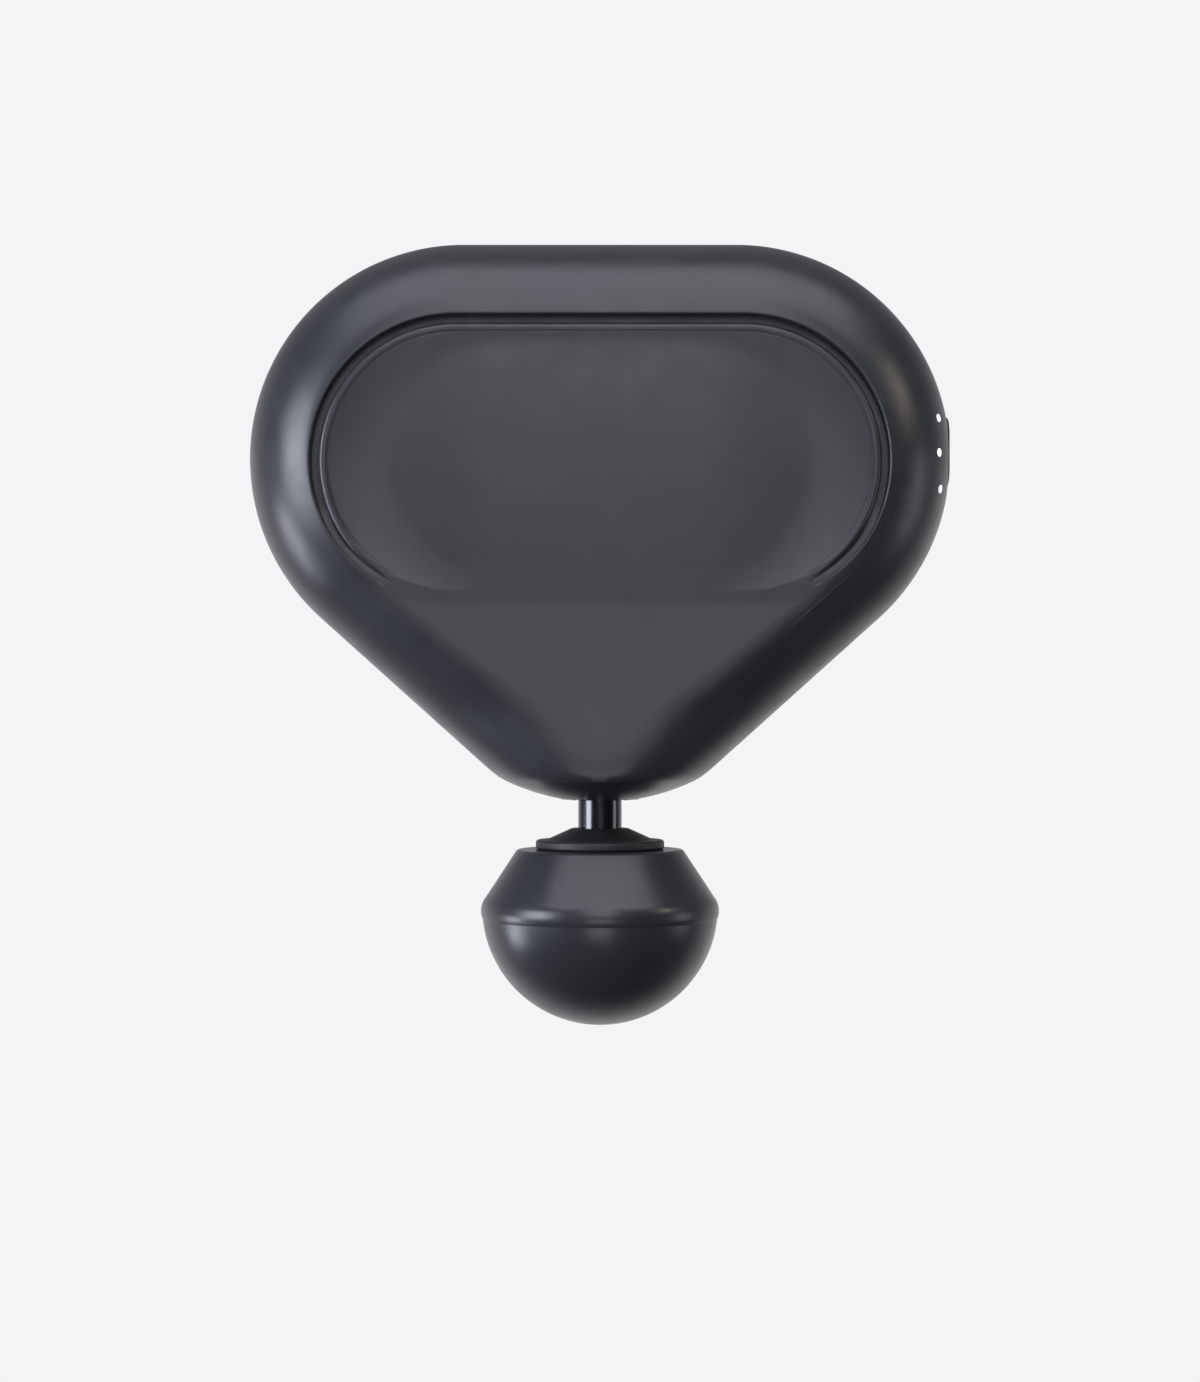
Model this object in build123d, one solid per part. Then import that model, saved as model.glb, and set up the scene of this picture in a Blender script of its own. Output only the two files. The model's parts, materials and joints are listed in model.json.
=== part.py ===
from build123d import *
from math import asin, cos, pi, radians, sin, sqrt
import os

# Palm-size percussive massage gun. Millimetres, +Z up, front faces -Y.
# The origin is the middle of the grip body, on the plane where the two housing halves meet.

# Body outline: two grip arcs, two straight flanks that converge on the nose
ARC_RADIUS = 41.1
ARC_X = 26.1
FLANK_ANGLE = 41.95              # flank's angle above the horizontal
NOSE_BLEND = 20.5                # rounding where the two flanks would meet
# Body section
HALF_DEPTH = 22.0
EDGE_ROUND = 20.0
FACE_Y = 21.25                   # flat front and rear faces
WALL = 2.2
NOSE_Z = -65.95
NOSE_DOME = 42.0
NOSE_TOP = -56.0                 # the dome shapes the nose below this height
NOSE_BORE = 7.6
NOSE_EASE = 1.6
SEAM_HALF = 0.35
SIDE_FLAT = 66.5                 # flat on the right side, round the button
# Control panel and rear pad
PANEL_RADIUS = 25.6
PANEL_X = 26.9
PANEL_Z = -1.5
GROOVE = 1.5
POCKET_Y = 17.2
FLOOR_Y = 15.2
PANEL_CROWN = 180.0
PANEL_FRONT = 20.9
PAD_REAR = 21.8
# Drive
CRANK_Z = -8.0
CRANK_THROW = 6.0
ROLLER_RADIUS = 5.0
SLOT_HALF_HEIGHT = 6.4
SLOT_HALF_LENGTH = 11.6
PIN_Z = CRANK_Z + CRANK_THROW
SHAFT_RADIUS = 2.5
MOTOR_RADIUS = 20.0
MOTOR_Y0 = 6.0
MOTOR_Y1 = 14.9
DISC_RADIUS = 12.0
DISC_THICK = 2.6
YOKE_Y0 = -5.5
YOKE_Y1 = -0.5
# Plunger and its bushing
ROD_RADIUS = 4.2
ROD_TIP = -85.0
BOSS_RADIUS = 5.4
BOSS_TOP = -21.0
BOSS_BOTTOM = -31.0
BUSH_RADIUS = 7.0
BUSH_TOP = -46.0
BUSH_BOTTOM = -60.0
SLEEVE_RADIUS = 9.6
RUN_FIT = 0.04
# Ball attachment
BALL_TOP = -75.05
BALL_TOP_RADIUS = 16.0
BALL_RADIUS = 22.75
BALL_Z = -86.1
SOCKET_RADIUS = 6.2
SOCKET_BORE = 4.3
SOCKET_FLOOR = -86.0
# Battery
CELL_RADIUS = 9.1
CELL_LENGTH = 49.0
CELL_X = 46.0
CELL_TOP_Z = 28.4
# Button, lamps, port
BUTTON_Z = 1.5
BUTTON_LENGTH = 13.6
BUTTON_WIDTH = 8.0
BUTTON_FACE = 67.1
BUTTON_BACK = 62.3
BUTTON_GAP = 0.25
# Each lamp's height, and its angle round the edge from the face towards the side
LAMPS = [(7.1, 60.9), (0.5, 57.3), (-6.3, 62.4)]
LAMP_RADIUS = 0.78
LAMP_DEPTH = 6.85
PORT_HEIGHT = 8.9
PORT_WIDTH = 3.2
PORT_FACE = -66.2
PORT_BACK = -59.2
PORT_GAP = 0.15
# Screws
HOUSING_POSTS = [(31.0, 31.0), (43.0, -30.6), (20.0, -44.0)]
MOUNT_POSTS = [(28.0, 6.0), (28.0, -22.0)]
BOARD_POSTS = [(23.0, 9.0), (23.0, -24.0)]
SCREW_RADIUS = 1.3
SCREW_HEAD_RADIUS = 2.5
POST_RADIUS = 3.2
WELL_POST_RADIUS = 4.4
WELL_RADIUS = 2.95
WELL_FLOOR = 8.0
PLUG_RADIUS = 2.85
BOARD_SCREW_RADIUS = 0.8
BOARD_POST_RADIUS = 2.6
FIT = 0.05
# Circuit boards
BOARD_FRONT = -12.4
BOARD_BACK = -11.2
SIDE_BOARD_X0 = 57.6
SIDE_BOARD_X1 = 58.8
LEAD_RADIUS = 0.7
FAR = 100.0                      # past the object, for cutting boxes


def box(x0, x1, y0, y1, z0, z1):
    """A box given by its two corners."""
    middle = Pos((x0 + x1) / 2, (y0 + y1) / 2, (z0 + z1) / 2)
    return middle * Box(x1 - x0, y1 - y0, z1 - z0)


def rod_x(radius, x0, x1, y=0.0, z=0.0):
    """A cylinder along X."""
    return Pos((x0 + x1) / 2, y, z) * Rot(0, 90, 0) * Cylinder(radius, x1 - x0)


def rod_y(radius, y0, y1, x=0.0, z=0.0):
    """A cylinder along Y."""
    return Pos(x, (y0 + y1) / 2, z) * Rot(90, 0, 0) * Cylinder(radius, y1 - y0)


def rod_z(radius, z0, z1, x=0.0, y=0.0):
    """A cylinder along Z."""
    return Pos(x, y, (z0 + z1) / 2) * Cylinder(radius, z1 - z0)


def both_sides(points):
    """The given (x, z) points and their mirror images."""
    return [(side * x, z) for x, z in points for side in (1, -1)]


def save(name, shape):
    """Writes one sub-part as one STEP file."""
    solids = shape.solids()
    export_step(solids[0] if len(solids) == 1 else Compound(children=list(solids)), f"parts/{name}.step")


# ---- housing -------------------------------------------------------------

def body_face(inset):
    """The body's outline in the XZ plane, moved inwards by inset."""
    radius = ARC_RADIUS - inset
    angle = radians(90 - FLANK_ANGLE)
    tx = ARC_X + radius * cos(angle)
    tz = -radius * sin(angle)
    blend = NOSE_BLEND - inset
    apex = -(ARC_RADIUS + ARC_X * cos(angle)) / sin(angle)
    centre = apex + NOSE_BLEND / sin(angle)
    bx = blend * cos(angle)
    bz = centre - blend * sin(angle)
    half = (pi / 2 - angle) / 2
    mx = ARC_X + radius * cos(half)
    mz = radius * sin(half)
    edges = [
        Line((-ARC_X, radius), (ARC_X, radius)),
        ThreePointArc((ARC_X, radius), (mx, mz), (tx, tz)),
        Line((tx, tz), (bx, bz)),
        ThreePointArc((bx, bz), (0, centre - blend), (-bx, bz)),
        Line((-bx, bz), (-tx, tz)),
        ThreePointArc((-tx, tz), (-mx, mz), (-ARC_X, radius)),
    ]
    return Plane.XZ * make_face(Wire(edges))


def half_body(inset, depth, rounding, face, dome):
    """The front half of the body: a slab with a rounded edge, a flat face and a domed nose."""
    slab = extrude(body_face(inset), depth, dir=(0, -1, 0))
    rim = slab.edges().filter_by(lambda edge: abs(edge.center().Y + depth) < 1e-6)
    slab = fillet(rim, rounding)
    slab = slab & box(-FAR, FAR, -face, 0, -FAR, FAR)
    cap = Pos(0, 0, NOSE_Z + NOSE_DOME) * Sphere(dome)
    keep = box(-FAR, FAR, -FAR, FAR, NOSE_TOP, FAR) + cap
    return slab & keep & box(-FAR, SIDE_FLAT, -FAR, FAR, -FAR, FAR)


def outer_half():
    """Outer surface of the front half, with the nose edge eased."""
    shape = half_body(0.0, HALF_DEPTH, EDGE_ROUND, FACE_Y, NOSE_DOME)
    dome = shape.faces().filter_by(GeomType.SPHERE)[0]
    rim = [edge for edge in dome.edges() if abs(edge.center().Y) > 0.5]
    return fillet(rim, NOSE_EASE)


def inner_half():
    """The cavity of the front half."""
    return half_body(WALL, HALF_DEPTH - WALL, EDGE_ROUND - WALL, FACE_Y - WALL, NOSE_DOME - 3.0)


def stadium(radius, y0, y1):
    """A long-round prism along Y, centred on the panel."""
    shape = box(-PANEL_X, PANEL_X, y0, y1, PANEL_Z - radius, PANEL_Z + radius)
    for side in (1, -1):
        shape += rod_y(radius, y0, y1, side * PANEL_X, PANEL_Z)
    return shape


def groove_cutter():
    """The groove around the control panel, which runs out towards the bottom."""
    low = PANEL_Z - PANEL_RADIUS
    outline = Plane.YZ * Polyline(
        (-30, 60), (-POCKET_Y, 60), (-POCKET_Y, 2), (-19.0, low - 0.2), (-FACE_Y - 0.05, low - 2.2),
        (-30, low - 2.2), close=True)
    prism = extrude(make_face(outline), 80, both=True)
    return stadium(PANEL_RADIUS + GROOVE, -30, -10) & prism


def button_outline(grow, x0, x1):
    """The button's long-round prism along X."""
    radius = BUTTON_WIDTH / 2 + grow
    reach = (BUTTON_LENGTH - BUTTON_WIDTH) / 2
    shape = box(x0, x1, -radius, radius, BUTTON_Z - reach, BUTTON_Z + reach)
    for side in (1, -1):
        shape += rod_x(radius, x0, x1, 0, BUTTON_Z + side * reach)
    return shape


def port_outline(grow, x0, x1):
    """The charge port's long-round prism along X."""
    radius = PORT_WIDTH / 2 + grow
    reach = (PORT_HEIGHT - PORT_WIDTH) / 2
    shape = box(x0, x1, -radius, radius, -reach, reach)
    for side in (1, -1):
        shape += rod_x(radius, x0, x1, 0, side * reach)
    return shape


def side_openings():
    """Holes through the side walls and the nose, shared by both halves."""
    cut = button_outline(BUTTON_GAP, 60, 75)
    cut += port_outline(PORT_GAP, -75, -60)
    cut += rod_z(NOSE_BORE, -80, -55)
    return cut


def lamp_reach(tilt):
    """Distance from the axis of the grip's arc to a lamp at the given angle round the edge."""
    return ARC_RADIUS - EDGE_ROUND + EDGE_ROUND * sin(radians(tilt))


def lamp_placement(z, tilt):
    """Frame on the outer surface at a lamp: local +Z points outwards, square to the surface."""
    angle = radians(tilt)
    turn = asin(z / lamp_reach(tilt))
    x = ARC_X + lamp_reach(tilt) * cos(turn)
    y = EDGE_ROUND - HALF_DEPTH - EDGE_ROUND * cos(angle)
    outwards = (sin(angle) * cos(turn), -cos(angle), sin(angle) * sin(turn))
    return Plane(origin=(x, y, z), x_dir=(0, 0, 1), z_dir=outwards).location


def lamp_holes():
    """Bores for the three light pipes."""
    bores = [lamp_placement(z, tilt) * Cylinder(LAMP_RADIUS + FIT, 12) for z, tilt in LAMPS]
    return bores[0] + bores[1] + bores[2]


def front_shell(outer, inner):
    """Front housing half: wall, seat of the panel, posts and openings."""
    shell = outer - inner
    shell += (stadium(PANEL_RADIUS + GROOVE + WALL, -FACE_Y, -FLOOR_Y) & outer)
    shell -= stadium(PANEL_RADIUS + FIT, -30, -POCKET_Y)
    shell -= groove_cutter()
    shell -= box(-FAR, FAR, -SEAM_HALF, 1, -FAR, FAR)
    for x, z in both_sides(HOUSING_POSTS):
        shell += rod_y(POST_RADIUS, -30, 0, x, z) & outer
        shell -= rod_y(SCREW_RADIUS + FIT, -9, 1, x, z)
    for x, z in both_sides(BOARD_POSTS):
        shell += rod_y(BOARD_POST_RADIUS, -FLOOR_Y - 0.5, BOARD_FRONT, x, z)
        shell -= rod_y(BOARD_SCREW_RADIUS + FIT, -15.4, -12, x, z)
    shell -= side_openings()
    return shell - lamp_holes()


def rear_shell(outer, inner):
    """Rear housing half: wall, seat of the pad, screw wells and posts of the drive frame."""
    shell = outer - inner
    shell += (stadium(PANEL_RADIUS + GROOVE + WALL, FLOOR_Y, FACE_Y) & outer)
    shell -= stadium(PANEL_RADIUS + GROOVE, POCKET_Y, 30)
    shell -= box(-FAR, FAR, -1, SEAM_HALF, -FAR, FAR)
    for x, z in both_sides(HOUSING_POSTS):
        shell += rod_y(WELL_POST_RADIUS, 0, 30, x, z) & outer
        shell -= rod_y(SCREW_RADIUS + FIT, -1, 30, x, z)
        shell -= rod_y(WELL_RADIUS, WELL_FLOOR, 30, x, z)
    for x, z in both_sides(MOUNT_POSTS):
        shell += rod_y(POST_RADIUS, MOTOR_Y0 + 1.5, FLOOR_Y + 0.5, x, z)
        shell -= rod_y(SCREW_RADIUS + FIT, MOTOR_Y0, 14.5, x, z)
    return shell - side_openings()


def seam_gasket():
    """The band between the two housing halves."""
    ring = extrude(body_face(0.5), SEAM_HALF, both=True) - extrude(body_face(WALL), SEAM_HALF, both=True)
    ring -= box(SIDE_FLAT - 0.3, FAR, -2, 2, -FAR, FAR)
    ring -= box(-FAR, FAR, -2, 2, -FAR, NOSE_Z + NOSE_DOME - sqrt(NOSE_DOME ** 2 - 20.0 ** 2))
    return ring - side_openings()


def front_panel():
    """Crowned control panel with a raised, rounded lip."""
    blank = stadium(PANEL_RADIUS, -24, -POCKET_Y)
    crown = rod_x(PANEL_CROWN, -60, 60, PANEL_CROWN - PANEL_FRONT, PANEL_Z + 4.0)
    panel = blank & crown
    top = panel.faces().filter_by(GeomType.CYLINDER).sort_by(lambda face: face.center().Y)[0]
    panel = fillet(top.edges(), 0.9)
    dish = rod_x(PANEL_CROWN - 0.5, -60, 60, PANEL_CROWN - PANEL_FRONT, PANEL_Z + 4.0)
    field = stadium(PANEL_RADIUS - 1.6, -24, -POCKET_Y) - dish
    return panel - field


def rear_pad():
    """Flat rear pad that the gun rests on."""
    pad = stadium(PANEL_RADIUS + GROOVE - 0.4, POCKET_Y, PAD_REAR)
    rim = pad.edges().filter_by(lambda edge: abs(edge.center().Y - PAD_REAR) < 1e-6)
    return fillet(rim, 1.0)


def screw(x, z, y_head, y_tip, head_radius, head_thick, radius=SCREW_RADIUS):
    """A cap screw along Y, with a hexagon socket; it points from its head to its tip."""
    way = 1 if y_tip > y_head else -1
    head_end = y_head - way * head_thick
    body = rod_y(head_radius, min(y_head, head_end), max(y_head, head_end), x, z)
    body += rod_y(radius, min(y_head, y_tip), max(y_head, y_tip), x, z)
    key = RegularPolygon(head_radius * 0.5, 6)
    socket = extrude(Plane(origin=(x, head_end, z), z_dir=(0, way, 0)) * key, head_thick * 0.6)
    return body - socket


def screw_group(points, y_head, y_tip, head_radius, head_thick, radius=SCREW_RADIUS):
    """Several equal screws."""
    return Compound(children=[
        screw(x, z, y_head, y_tip, head_radius, head_thick, radius) for x, z in both_sides(points)])


def screw_plugs(outer):
    """Rubber plugs that close the rear screw wells."""
    plugs = []
    for x, z in both_sides(HOUSING_POSTS):
        plugs.append((rod_y(PLUG_RADIUS, WELL_FLOOR + 2.0, 30, x, z) & outer).solids()[0])
    return Compound(children=plugs)


def nose_seal():
    """Wiper ring where the plunger leaves the nose."""
    cavity = Pos(0, 0, NOSE_Z + NOSE_DOME) * Sphere(NOSE_DOME - 3.05)
    low, high = NOSE_Z + 0.6, BUSH_BOTTOM - 0.75
    ring = rod_z(NOSE_BORE - 0.1, low, high) + (rod_z(8.8, low, high) & cavity)
    return ring - rod_z(ROD_RADIUS + 0.06, -80, -50)


# ---- drive ---------------------------------------------------------------

def chassis():
    """Drive frame: a plate behind the crank, and a sleeve for the plunger's bushing."""
    plate = box(-32, 32, 3, MOTOR_Y0, -27, 11)
    corners = plate.edges().filter_by(Axis.Y)
    plate = fillet(corners, 4)
    plate += box(-9, 9, 3, MOTOR_Y0, BUSH_BOTTOM, -26)
    plate += rod_z(SLEEVE_RADIUS, BUSH_BOTTOM, BUSH_TOP + 2)
    plate -= rod_z(BUSH_RADIUS, BUSH_BOTTOM - 1, BUSH_TOP + 3)
    plate -= box(-6.2, 6.2, 2, 7, BUSH_TOP + 2, -20.5)
    plate -= rod_y(6.6, 2, 7, 0, CRANK_Z)
    for x, z in both_sides(MOUNT_POSTS):
        plate -= rod_y(SCREW_RADIUS + FIT, 2, 7, x, z)
    for x, z in motor_screw_points():
        plate -= rod_y(1.1, 2, 7, x, z)
    for side in (1, -1):
        plate -= rod_y(3.4, 2, 7, side * 24.5, CRANK_Z)
    return plate


def motor_screw_points():
    """Places of the motor's screws, on a circle round the crank axis."""
    return [(14 * cos(radians(a)), CRANK_Z + 14 * sin(radians(a))) for a in (35, 145, 215, 325)]


def guide_rails():
    """Two slide rails beside the yoke."""
    rails = []
    for side in (1, -1):
        x0, x1 = sorted((side * 15.35, side * 18.6))
        rail = box(x0, x1, -6.6, 3.0, -26.0, 9.5)
        rails.append(fillet(rail.edges().filter_by(Axis.Z), 0.8))
    return Compound(children=rails)


def chassis_dampers():
    """Rubber washers between the drive frame and its posts."""
    return Compound(children=[
        rod_y(3.4, MOTOR_Y0, MOTOR_Y0 + 1.5, x, z) - rod_y(SCREW_RADIUS + FIT, MOTOR_Y0 - 1, 9, x, z)
        for x, z in both_sides(MOUNT_POSTS)])


def motor_can():
    """Motor case with a bearing seat in each end."""
    can = rod_y(MOTOR_RADIUS, MOTOR_Y0, MOTOR_Y1, 0, CRANK_Z)
    can = fillet(can.edges(), 0.8)
    can -= rod_y(MOTOR_RADIUS - 1.2, MOTOR_Y0 + 1.2, MOTOR_Y1 - 1.2, 0, CRANK_Z)
    can += rod_y(8.0, MOTOR_Y0 + 0.5, MOTOR_Y0 + 3.0, 0, CRANK_Z)
    can += rod_y(8.0, MOTOR_Y1 - 3.0, MOTOR_Y1 - 0.5, 0, CRANK_Z)
    can -= rod_y(6.5, MOTOR_Y0 - 1, MOTOR_Y0 + 4, 0, CRANK_Z)
    can -= rod_y(6.5, MOTOR_Y1 - 4, MOTOR_Y1 - 0.5, 0, CRANK_Z)
    for x, z in motor_screw_points():
        can -= rod_y(1.1, MOTOR_Y0 - 1, MOTOR_Y0 + 2, x, z)
    return can


def motor_stator():
    """Stator ring with twelve wound teeth."""
    y0, y1 = MOTOR_Y0 + 3.0, MOTOR_Y1 - 2.0
    ring = rod_y(MOTOR_RADIUS - 1.25, y0, y1, 0, CRANK_Z) - rod_y(17.0, y0 - 1, y1 + 1, 0, CRANK_Z)
    for index in range(12):
        angle = 30 * index + 15
        tooth = box(13.2, 17.2, y0 + 0.3, y1 - 0.3, -2.2, 2.2)
        ring += Pos(0, 0, CRANK_Z) * Rot(0, angle, 0) * tooth
    return ring


def motor_bearings():
    """The two ball bearings of the motor shaft, each as one ring."""
    rings = []
    for y0, y1 in ((MOTOR_Y0, MOTOR_Y0 + 2.8), (MOTOR_Y1 - 3.4, MOTOR_Y1 - 0.6)):
        ring = rod_y(6.45, y0, y1, 0, CRANK_Z) - rod_y(SHAFT_RADIUS + RUN_FIT, y0 - 1, y1 + 1, 0, CRANK_Z)
        for start in (y0 - 0.5, y1 - 0.5):
            race = rod_y(5.2, start, start + 1, 0, CRANK_Z) - rod_y(3.9, start, start + 1, 0, CRANK_Z)
            ring -= race
        rings.append(ring)
    return Compound(children=rings)


def motor_rotor():
    """Rotor hub with its magnet ring."""
    y0, y1 = MOTOR_Y0 + 3.4, MOTOR_Y1 - 2.4
    rotor = rod_y(12.6, y0, y1, 0, CRANK_Z) - rod_y(10.0, y0 - 1, y1 + 1, 0, CRANK_Z)
    rotor += rod_y(10.5, y0 + 0.1, y0 + 1.5, 0, CRANK_Z)
    return rotor - rod_y(SHAFT_RADIUS, y0 - 1, y1 + 1, 0, CRANK_Z)


def motor_shaft():
    """Shaft that carries the rotor and the crank disc."""
    return rod_y(SHAFT_RADIUS, 0, MOTOR_Y1 - 0.7, 0, CRANK_Z)


def crank_disc():
    """Crank disc with a heavier half opposite the pin."""
    disc = rod_y(DISC_RADIUS, 0, DISC_THICK, 0, CRANK_Z)
    for side in (1, -1):
        disc -= rod_y(3.2, -1, 4, side * 7.2, CRANK_Z + 4.6)
    disc -= rod_y(SHAFT_RADIUS, -1, 4, 0, CRANK_Z)
    return disc - rod_y(2.0, -1, 4, 0, PIN_Z)


def crank_pin():
    """Stepped pin with a groove for its retaining clip."""
    pin = rod_y(2.0, -6.4, DISC_THICK, 0, PIN_Z)
    groove = rod_y(2.5, -6.0, -5.5, 0, PIN_Z) - rod_y(1.6, -6.1, -5.4, 0, PIN_Z)
    return pin - groove


def crank_roller():
    """Needle roller that runs in the yoke's slot."""
    roller = rod_y(ROLLER_RADIUS, -5.2, -0.6, 0, PIN_Z)
    roller = fillet(roller.edges(), 0.4)
    return roller - rod_y(2.0 + RUN_FIT, -6, 0, 0, PIN_Z)


def pin_clip():
    """Open retaining clip on the crank pin."""
    clip = rod_y(3.3, -5.95, -5.55, 0, PIN_Z) - rod_y(1.65, -6, -5, 0, PIN_Z)
    return clip - box(-1.2, 1.2, -7, -5, PIN_Z, PIN_Z + 5)


def yoke():
    """Slotted yoke with the boss that holds the plunger rod."""
    frame = box(-15, 15, YOKE_Y0, YOKE_Y1, PIN_Z - 10, PIN_Z + 10)
    frame = fillet(frame.edges().filter_by(Axis.Y), 2.0)
    slot = box(-SLOT_HALF_LENGTH, SLOT_HALF_LENGTH, -7, 0, PIN_Z - SLOT_HALF_HEIGHT, PIN_Z + SLOT_HALF_HEIGHT)
    frame -= fillet(slot.edges().filter_by(Axis.Y), 4.5)
    frame += box(-BOSS_RADIUS, BOSS_RADIUS, YOKE_Y0, YOKE_Y1, BOSS_BOTTOM + 2, PIN_Z - 9)
    frame += rod_z(BOSS_RADIUS, BOSS_BOTTOM, BOSS_TOP)
    frame -= rod_z(3.0, BOSS_BOTTOM - 1, BOSS_TOP - 2)
    return frame - rod_x(1.0, -8, 8, 0, BOSS_BOTTOM + 4)


def plunger_rod():
    """Polished plunger rod with a spigot for the yoke and a groove for the snap ring."""
    rod = rod_z(ROD_RADIUS, ROD_TIP, BOSS_BOTTOM)
    rod = chamfer(rod.edges().sort_by(Axis.Z)[0], 0.6)
    rod += rod_z(3.0, BOSS_BOTTOM - 1, BOSS_TOP - 2.2)
    rod -= rod_z(5, -81.1, -79.1) - rod_z(3.2, -82, -78)
    return rod - rod_x(1.0, -8, 8, 0, BOSS_BOTTOM + 4)


def yoke_pin():
    """Cross pin that locks the rod into the yoke."""
    return rod_x(0.98, -5.0, 5.0, 0, BOSS_BOTTOM + 4)


def snap_ring():
    """Rubber ring that holds the attachment on the rod."""
    return Pos(0, 0, -80.1) * Torus(3.73, 0.5)


def shaft_bushing():
    """Bronze plain bushing that guides the rod."""
    return rod_z(BUSH_RADIUS - 0.02, BUSH_BOTTOM, BUSH_TOP) - rod_z(ROD_RADIUS + RUN_FIT, -80, -40)


def stroke_bumper():
    """Rubber stop at the bottom of the stroke."""
    return rod_z(BUSH_RADIUS - 0.05, BUSH_TOP, BUSH_TOP + 1.8) - rod_z(ROD_RADIUS + 0.35, -80, -40)


# ---- ball attachment -----------------------------------------------------

def ball_profile(grow):
    """Right half of the ball's section, in the XZ plane."""
    top = BALL_TOP + grow
    shoulder_x, shoulder_z = 22.0 + grow, -84.2
    low_angle = radians(-6)
    low_x = (BALL_RADIUS + grow) * cos(low_angle)
    low_z = BALL_Z + (BALL_RADIUS + grow) * sin(low_angle)
    mid_x = (BALL_RADIUS + grow) * cos(radians(-48))
    mid_z = BALL_Z + (BALL_RADIUS + grow) * sin(radians(-48))
    edges = [
        Line((0, top), (BALL_TOP_RADIUS + grow, top)),
        Line((BALL_TOP_RADIUS + grow, top), (shoulder_x, shoulder_z)),
        ThreePointArc((shoulder_x, shoulder_z), (22.95 + grow, -86.4), (low_x, low_z)),
        ThreePointArc((low_x, low_z), (mid_x, mid_z), (0, BALL_Z - BALL_RADIUS - grow)),
        Line((0, BALL_Z - BALL_RADIUS - grow), (0, top)),
    ]
    return Plane.XZ * make_face(Wire(edges))


def ball_solid(grow):
    """The whole ball, grown outwards by grow."""
    return revolve(ball_profile(grow), Axis.Z, 360)


def ball_cover():
    """Soft outer skin of the ball."""
    cover = ball_solid(0.0)
    rim = cover.edges().filter_by(lambda edge: abs(edge.center().Z - BALL_TOP) < 1e-3 and edge.length > 80)
    cover = fillet(rim, 0.9)
    cover -= ball_solid(-4.0) & rod_z(30, -120, BALL_TOP - 3.4)
    return cover - rod_z(SOCKET_RADIUS + 2.6, -80, -70)


def ball_core():
    """Stiff core inside the skin, with the socket's seat."""
    core = ball_solid(-4.1) & rod_z(30, -120, BALL_TOP - 4.2)
    core += rod_z(SOCKET_RADIUS + 2.5, -82, BALL_TOP - 0.3)
    return core - rod_z(SOCKET_RADIUS, SOCKET_FLOOR - 1.6, -70)


def ball_socket():
    """Metal socket that the rod plugs into."""
    socket = rod_z(SOCKET_RADIUS - 0.02, SOCKET_FLOOR - 1.6, BALL_TOP + 0.4)
    return socket - rod_z(SOCKET_BORE, SOCKET_FLOOR, -70)


def ball_collar():
    """Rubber collar between the rod and the ball's flat top."""
    cone = Pos(0, 0, -72.2) * Cone(10.8, 5.5, 2.4)
    ring = rod_z(12.4, -75.04, -73.2)
    ring = fillet(ring.edges(), 0.6)
    collar = cone + ring
    collar -= rod_z(SOCKET_BORE, -80, -70)
    return collar - rod_z(SOCKET_RADIUS, -80, BALL_TOP + 0.45)


# ---- battery -------------------------------------------------------------

def upright_cell(side):
    """Cell in one wing of the body, with its raised terminal."""
    cell = rod_z(CELL_RADIUS, -CELL_LENGTH / 2, CELL_LENGTH / 2, side * CELL_X)
    cell = fillet(cell.edges(), 0.7)
    return cell + rod_z(3.0, CELL_LENGTH / 2, CELL_LENGTH / 2 + 0.5, side * CELL_X)


def top_cell():
    """Cell that lies along the top of the body."""
    cell = rod_x(CELL_RADIUS, -CELL_LENGTH / 2, CELL_LENGTH / 2, 0, CELL_TOP_Z)
    cell = fillet(cell.edges(), 0.7)
    return cell + rod_x(3.0, CELL_LENGTH / 2, CELL_LENGTH / 2 + 0.5, 0, CELL_TOP_Z)


def battery_frame():
    """Plate behind the cells, with a band round each one."""
    hold = CELL_RADIUS + 0.05
    outside = CELL_RADIUS + 1.25
    frame = box(-24, 24, 9.0, 10.6, 22, 34)
    for side in (1, -1):
        x0, x1 = sorted((side * 22, side * 40))
        frame += box(x0, x1, 9.0, 10.6, 21.5, 24.2) - rod_y(4.6, 0, 30, side * 31, 31)
        frame += rod_z(outside, 14.5, 24.2, side * CELL_X)
        frame += rod_z(outside, -14, -8, side * CELL_X)
        b0, b1 = sorted((side * (CELL_X - 7), side * (CELL_X + 5)))
        frame += box(b0, b1, 9.0, 10.3, -14, 24.2)
    for start in (-18, 10):
        frame += rod_x(outside, start, start + 8, 0, CELL_TOP_Z)
    for side in (1, -1):
        frame -= rod_z(hold, -40, 40, side * CELL_X)
        x0, x1 = sorted((side * (CELL_X - 5.5), side * (CELL_X + 5.5)))
        frame -= box(x0, x1, -20, -5, -40, 40)
    frame -= rod_x(hold, -40, 40, 0, CELL_TOP_Z)
    return frame - box(-40, 40, -20, -5, CELL_TOP_Z - 5.5, CELL_TOP_Z + 5.5)


def cell_tabs():
    """Nickel strips on the cell ends."""
    top = CELL_LENGTH / 2 + 0.5
    tabs = []
    for side in (1, -1):
        x = side * CELL_X
        tabs.append(box(x - 3, x + 3, -3.5, 3.5, top, top + 0.2))
        tabs.append(box(x - 3, x + 3, -3.5, 3.5, -top + 0.3, -top + 0.5))
    tabs.append(box(top, top + 0.2, -3.5, 3.5, CELL_TOP_Z - 3, CELL_TOP_Z + 3))
    tabs.append(box(-top + 0.3, -top + 0.5, -3.5, 3.5, CELL_TOP_Z - 3, CELL_TOP_Z + 3))
    return Compound(children=tabs)


# ---- electronics ---------------------------------------------------------

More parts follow.
